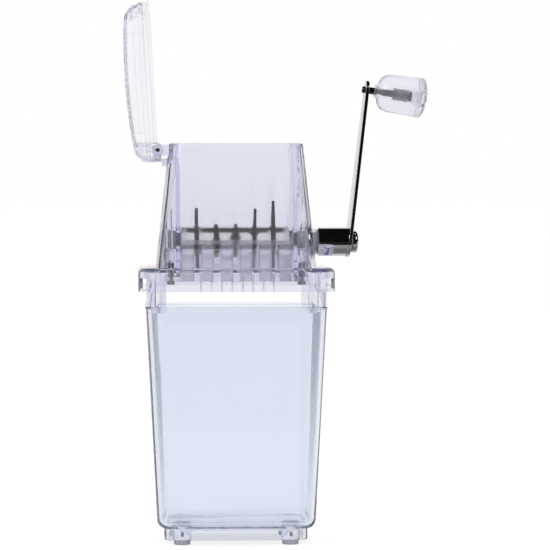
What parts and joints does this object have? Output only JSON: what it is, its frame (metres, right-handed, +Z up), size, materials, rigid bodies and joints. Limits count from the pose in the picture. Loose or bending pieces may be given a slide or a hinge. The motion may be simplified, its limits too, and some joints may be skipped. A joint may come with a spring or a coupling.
{
  "type": "hand crank ice crusher",
  "caption": "Clear ice crusher: a tapered bin under a hopper head with a flip lid, a bladed rotor between combs, and a side crank with a turning knob.",
  "frame": {"origin": "centre of the bin's base, on the surface the feet stand on", "axes": "+Z up, +X towards the crank, -Y the front; +X is also the crank's axis of rotation"},
  "size_m": [0.1974, 0.108, 0.3489],
  "materials": {
    "clear_bin": "clear, faint lavender, polished mould surface",
    "clear_head": "clear, faint lavender, polished mould surface",
    "clear_lid": "clear, faint lavender, polished mould surface",
    "clear_knob": "clear, polished",
    "comb_plastic": "clear, lightly frosted",
    "foot_rubber": "pale, soft satin",
    "bush_plastic": "off-white, satin",
    "pin_steel": "drawn wire",
    "screw_steel": "plain zinc plated",
    "shaft_steel": "drawn bar",
    "blade_steel": "stamped steel, dark",
    "spacer_metal": "turned, satin",
    "chrome": "polished plating",
    "knob_insert": "grey, translucent, fine threads"
  },
  "bodies": {
    "bin": {"bin_shell": "clear_bin", "foot_pad_1": "foot_rubber", "foot_pad_2": "foot_rubber", "foot_pad_3": "foot_rubber", "foot_pad_4": "foot_rubber"},
    "head": {"head_housing": "clear_head", "hinge_pin": "pin_steel", "bush_left": "bush_plastic", "bush_right": "bush_plastic", "front_comb": "comb_plastic", "rear_comb": "comb_plastic", "comb_screws": "screw_steel"},
    "crank": {"rotor_shaft": "shaft_steel", "retaining_clip": "pin_steel", "crusher_blade_1": "blade_steel", "crusher_blade_2": "blade_steel", "crusher_blade_3": "blade_steel", "crusher_blade_4": "blade_steel", "crusher_blade_5": "blade_steel", "spacer_1": "spacer_metal", "spacer_2": "spacer_metal", "spacer_3": "spacer_metal", "spacer_4": "spacer_metal", "spacer_5": "spacer_metal", "spacer_6": "spacer_metal", "crank_sleeve": "chrome", "crank_arm": "chrome", "crank_washer": "pin_steel", "crank_nut": "chrome", "knob_stem": "chrome"},
    "knob": {"knob_shell": "clear_knob", "knob_bushing": "knob_insert", "knob_end_cap": "clear_knob"},
    "lid": {"lid_shell": "clear_lid"}
  },
  "joints": [
    {"name": "head_lift", "type": "slide", "parent": "bin", "child": "head", "axis": [0, 0, 1], "range_m": [0, 0.06]},
    {"name": "lid_hinge", "type": "hinge", "parent": "head", "child": "lid", "pos_m": [-0.0503, 0, 0.2533], "axis": [0, 1, 0], "range_deg": [0, 93.5]},
    {"name": "crank_spin", "type": "hinge", "parent": "head", "child": "crank", "pos_m": [0, 0, 0.194], "axis": [1, 0, 0], "continuous": true},
    {"name": "knob_spin", "type": "hinge", "parent": "crank", "child": "knob", "pos_m": [0.0855, 0, 0.2925], "axis": [0.9898, 0, -0.1426], "continuous": true}
  ]
}
